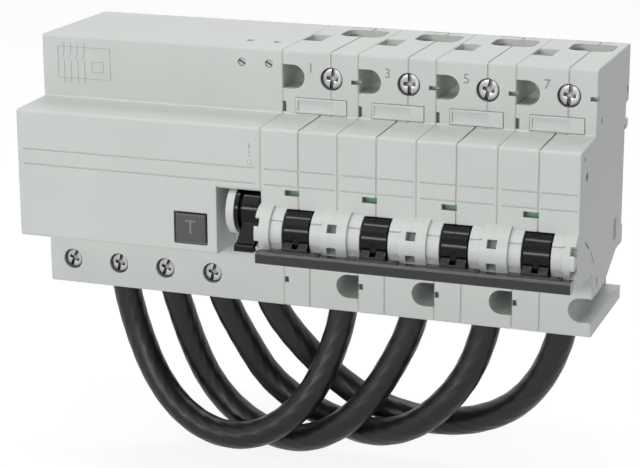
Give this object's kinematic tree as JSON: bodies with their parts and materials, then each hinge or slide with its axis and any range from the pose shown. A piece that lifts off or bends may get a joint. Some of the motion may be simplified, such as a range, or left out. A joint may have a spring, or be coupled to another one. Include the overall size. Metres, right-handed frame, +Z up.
{
  "type": "residual current device",
  "caption": "Rail-mounted residual current circuit breaker: a wide sensing unit beside linked breaker poles, joined by thick black leads.",
  "frame": {"origin": "middle of the width, on the plane of the mounting rail's front, level with the rail's middle", "axes": "+X to the viewer's right along the rail, +Y back into the rail, +Z up; the handles face -Y"},
  "size_m": [0.198, 0.0839, 0.1593],
  "materials": {
    "housing": "fine eroded satin",
    "dark_plastic": "satin",
    "button": "satin",
    "label": "clear strip over card",
    "nickel_steel": "nickel plated",
    "copper": "bare copper",
    "core": "wound strip, varnished",
    "board": "lacquered board",
    "lead": "matt with a soft sheen"
  },
  "bodies": {
    "case": {"pole1_case_left": "housing", "pole1_case_right": "housing", "pole2_case_left": "housing", "pole2_case_right": "housing", "pole3_case_left": "housing", "pole3_case_right": "housing", "pole4_case_left": "housing", "pole4_case_right": "housing", "label_strips": "label", "fixed_contacts": "copper", "load_terminals": "nickel_steel", "arc_chutes": "nickel_steel", "magnet_coils": "copper", "bimetal_strips": "copper", "case_rivets": "nickel_steel", "rc_base": "housing", "rc_cover": "housing", "rc_load_boxes": "nickel_steel", "rc_primary_bars": "copper", "rc_sensing_core": "core", "rc_sensing_winding": "copper", "rc_circuit_board": "board", "rc_trip_relay": "dark_plastic", "rc_aux_screws": "nickel_steel", "lead_1": "lead", "lead_2": "lead", "lead_3": "lead", "lead_4": "lead", "lead_grommets": "dark_plastic"},
    "arm_1": {"pole1_contact_arm": "copper"},
    "supply_screw_1": {"pole1_supply_screw": "nickel_steel"},
    "supply_clamp_1": {"pole1_supply_clamp": "nickel_steel"},
    "slider_1": {"pole1_rail_slider": "housing"},
    "load_screw_1": {"rc_load_screw_1": "nickel_steel"},
    "arm_2": {"pole2_contact_arm": "copper"},
    "supply_screw_2": {"pole2_supply_screw": "nickel_steel"},
    "supply_clamp_2": {"pole2_supply_clamp": "nickel_steel"},
    "slider_2": {"pole2_rail_slider": "housing"},
    "load_screw_2": {"rc_load_screw_2": "nickel_steel"},
    "arm_3": {"pole3_contact_arm": "copper"},
    "supply_screw_3": {"pole3_supply_screw": "nickel_steel"},
    "supply_clamp_3": {"pole3_supply_clamp": "nickel_steel"},
    "slider_3": {"pole3_rail_slider": "housing"},
    "load_screw_3": {"rc_load_screw_3": "nickel_steel"},
    "arm_4": {"pole4_contact_arm": "copper"},
    "supply_screw_4": {"pole4_supply_screw": "nickel_steel"},
    "supply_clamp_4": {"pole4_supply_clamp": "nickel_steel"},
    "slider_4": {"pole4_rail_slider": "housing"},
    "load_screw_4": {"rc_load_screw_4": "nickel_steel"},
    "handle": {"pole1_toggle": "dark_plastic", "pole2_toggle": "dark_plastic", "pole3_toggle": "dark_plastic", "pole4_toggle": "dark_plastic", "tie_bar": "dark_plastic"},
    "unit_handle": {"rc_handle": "dark_plastic"},
    "trip": {"trip_shaft": "dark_plastic"},
    "unit_slider_left": {"rc_rail_slider_left": "housing"},
    "unit_slider_right": {"rc_rail_slider_right": "housing"},
    "button": {"rc_test_button": "button", "rc_test_spring": "nickel_steel"}
  },
  "joints": [
    {"name": "handle_turn", "type": "hinge", "parent": "case", "child": "handle", "pos_m": [0, -0.062, -0.0123], "axis": [-1, 0, 0], "range_deg": [0, 75]},
    {"name": "unit_handle_turn", "type": "hinge", "parent": "case", "child": "unit_handle", "pos_m": [-0.012, -0.0585, -0.0071], "axis": [-1, 0, 0], "range_deg": [0, 60]},
    {"name": "trip_shaft_turn", "type": "hinge", "parent": "case", "child": "trip", "pos_m": [0, -0.0566, 0.0129], "axis": [1, 0, 0], "range_deg": [0, 12], "stiffness_Nm_per_rad": 0.002},
    {"name": "arm_turn_1", "type": "hinge", "parent": "case", "child": "arm_1", "pos_m": [0.0045, -0.046, -0.002], "axis": [1, 0, 0], "range_deg": [0, 10]},
    {"name": "supply_screw_turn_1", "type": "hinge", "parent": "case", "child": "supply_screw_1", "pos_m": [0.0085, -0.03, 0.0358], "axis": [0, 1, 0], "range_deg": [0, 2160]},
    {"name": "supply_clamp_slide_1", "type": "slide", "parent": "case", "child": "supply_clamp_1", "axis": [0, -1, 0], "range_m": [0, 0.006]},
    {"name": "slider_slide_1", "type": "slide", "parent": "case", "child": "slider_1", "axis": [0, 0, -1], "range_m": [0, 0.004], "stiffness_N_per_m": 900},
    {"name": "load_screw_turn_1", "type": "hinge", "parent": "case", "child": "load_screw_1", "pos_m": [-0.09, -0.03, -0.0361], "axis": [0, 1, 0], "range_deg": [0, 1440]},
    {"name": "arm_turn_2", "type": "hinge", "parent": "case", "child": "arm_2", "pos_m": [0.0315, -0.046, -0.002], "axis": [1, 0, 0], "range_deg": [0, 10]},
    {"name": "supply_screw_turn_2", "type": "hinge", "parent": "case", "child": "supply_screw_2", "pos_m": [0.0355, -0.03, 0.0358], "axis": [0, 1, 0], "range_deg": [0, 2160]},
    {"name": "supply_clamp_slide_2", "type": "slide", "parent": "case", "child": "supply_clamp_2", "axis": [0, -1, 0], "range_m": [0, 0.006]},
    {"name": "slider_slide_2", "type": "slide", "parent": "case", "child": "slider_2", "axis": [0, 0, -1], "range_m": [0, 0.004], "stiffness_N_per_m": 900},
    {"name": "load_screw_turn_2", "type": "hinge", "parent": "case", "child": "load_screw_2", "pos_m": [-0.072, -0.03, -0.0361], "axis": [0, 1, 0], "range_deg": [0, 1440]},
    {"name": "arm_turn_3", "type": "hinge", "parent": "case", "child": "arm_3", "pos_m": [0.0585, -0.046, -0.002], "axis": [1, 0, 0], "range_deg": [0, 10]},
    {"name": "supply_screw_turn_3", "type": "hinge", "parent": "case", "child": "supply_screw_3", "pos_m": [0.0625, -0.03, 0.0358], "axis": [0, 1, 0], "range_deg": [0, 2160]},
    {"name": "supply_clamp_slide_3", "type": "slide", "parent": "case", "child": "supply_clamp_3", "axis": [0, -1, 0], "range_m": [0, 0.006]},
    {"name": "slider_slide_3", "type": "slide", "parent": "case", "child": "slider_3", "axis": [0, 0, -1], "range_m": [0, 0.004], "stiffness_N_per_m": 900},
    {"name": "load_screw_turn_3", "type": "hinge", "parent": "case", "child": "load_screw_3", "pos_m": [-0.054, -0.03, -0.0361], "axis": [0, 1, 0], "range_deg": [0, 1440]},
    {"name": "arm_turn_4", "type": "hinge", "parent": "case", "child": "arm_4", "pos_m": [0.0855, -0.046, -0.002], "axis": [1, 0, 0], "range_deg": [0, 10]},
    {"name": "supply_screw_turn_4", "type": "hinge", "parent": "case", "child": "supply_screw_4", "pos_m": [0.0895, -0.03, 0.0358], "axis": [0, 1, 0], "range_deg": [0, 2160]},
    {"name": "supply_clamp_slide_4", "type": "slide", "parent": "case", "child": "supply_clamp_4", "axis": [0, -1, 0], "range_m": [0, 0.006]},
    {"name": "slider_slide_4", "type": "slide", "parent": "case", "child": "slider_4", "axis": [0, 0, -1], "range_m": [0, 0.004], "stiffness_N_per_m": 900},
    {"name": "load_screw_turn_4", "type": "hinge", "parent": "case", "child": "load_screw_4", "pos_m": [-0.036, -0.03, -0.0361], "axis": [0, 1, 0], "range_deg": [0, 1440]},
    {"name": "unit_slider_slide_left", "type": "slide", "parent": "case", "child": "unit_slider_left", "axis": [0, 0, -1], "range_m": [0, 0.004], "stiffness_N_per_m": 900},
    {"name": "unit_slider_slide_right", "type": "slide", "parent": "case", "child": "unit_slider_right", "axis": [0, 0, -1], "range_m": [0, 0.004], "stiffness_N_per_m": 900},
    {"name": "test_button_slide", "type": "slide", "parent": "case", "child": "button", "axis": [0, 1, 0], "range_m": [0, 0.0016], "stiffness_N_per_m": 500}
  ],
  "couplings": [
    {"joint": "unit_handle_turn", "follows": "handle_turn", "ratio": 0.8},
    {"joint": "arm_turn_1", "follows": "handle_turn", "ratio": 0.13333},
    {"joint": "supply_screw_turn_1", "follows": "supply_clamp_slide_1", "rad_per_m": 6283},
    {"joint": "arm_turn_2", "follows": "handle_turn", "ratio": 0.13333},
    {"joint": "supply_screw_turn_2", "follows": "supply_clamp_slide_2", "rad_per_m": 6283},
    {"joint": "arm_turn_3", "follows": "handle_turn", "ratio": 0.13333},
    {"joint": "supply_screw_turn_3", "follows": "supply_clamp_slide_3", "rad_per_m": 6283},
    {"joint": "arm_turn_4", "follows": "handle_turn", "ratio": 0.13333},
    {"joint": "supply_screw_turn_4", "follows": "supply_clamp_slide_4", "rad_per_m": 6283}
  ]
}
